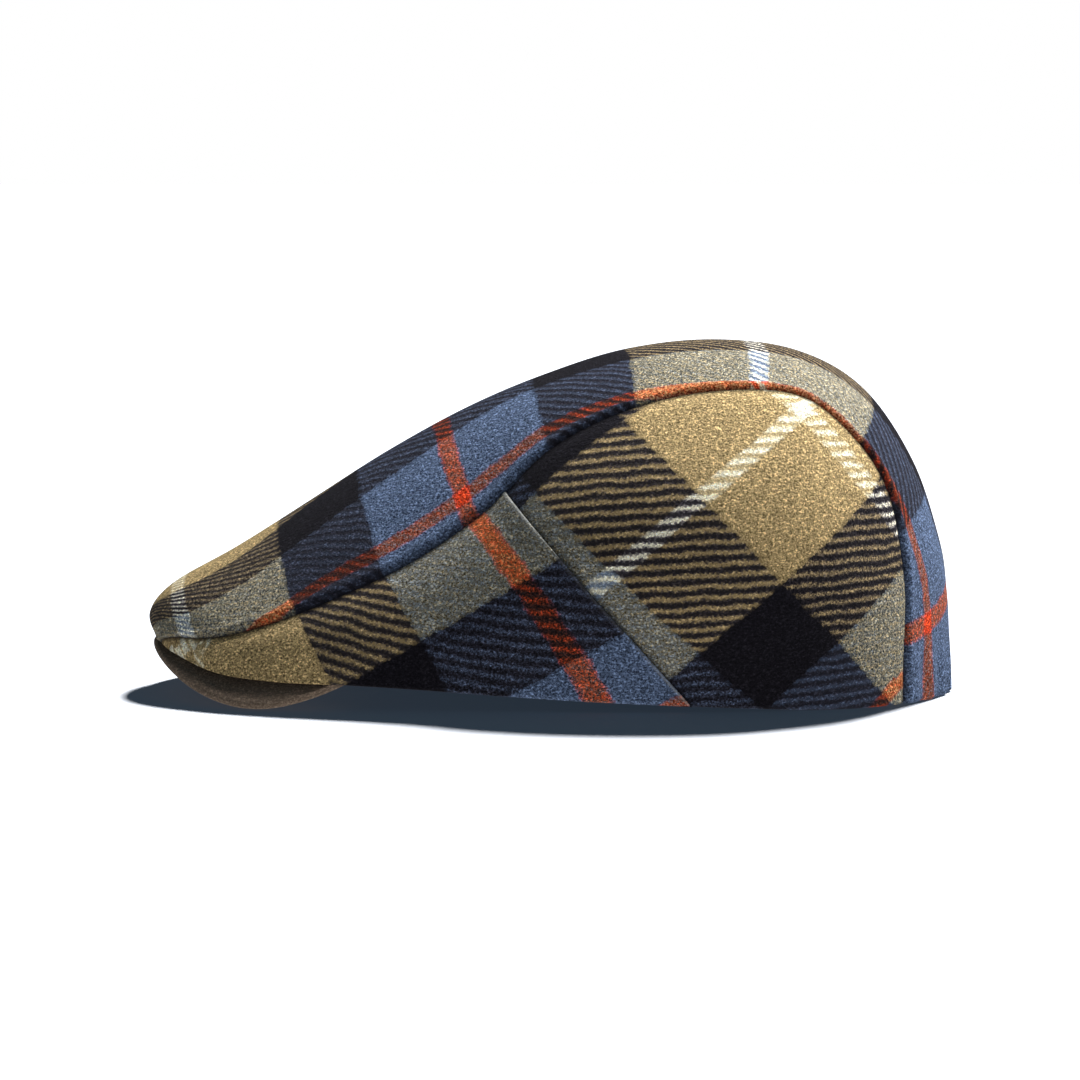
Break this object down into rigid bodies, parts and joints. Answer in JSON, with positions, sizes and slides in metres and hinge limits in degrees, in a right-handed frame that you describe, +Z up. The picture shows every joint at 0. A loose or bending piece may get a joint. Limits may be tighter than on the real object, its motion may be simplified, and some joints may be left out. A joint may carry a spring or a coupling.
{
  "type": "flat cap",
  "caption": "Flat cap of tartan wool: a long top panel, side panels joined by a lapped diagonal seam, and a short cloth-covered peak.",
  "frame": {"origin": "centre of the cap's bounding box, on the surface it rests on", "axes": "+X towards the back of the cap, so the nose and peak point along -X; +Y towards the side that the camera does not see; +Z up"},
  "size_m": [0.28, 0.1828, 0.1224],
  "materials": {
    "blue_tartan": "brushed wool twill",
    "olive_tartan": "brushed wool twill",
    "camel_tartan": "brushed wool twill",
    "peak_tartan": "brushed wool twill"
  },
  "bodies": {
    "root": {"top_panel": "blue_tartan", "side_front_near": "olive_tartan", "side_front_far": "olive_tartan", "side_rear_near": "camel_tartan", "side_rear_far": "camel_tartan", "peak": "peak_tartan"}
  },
  "joints": []
}
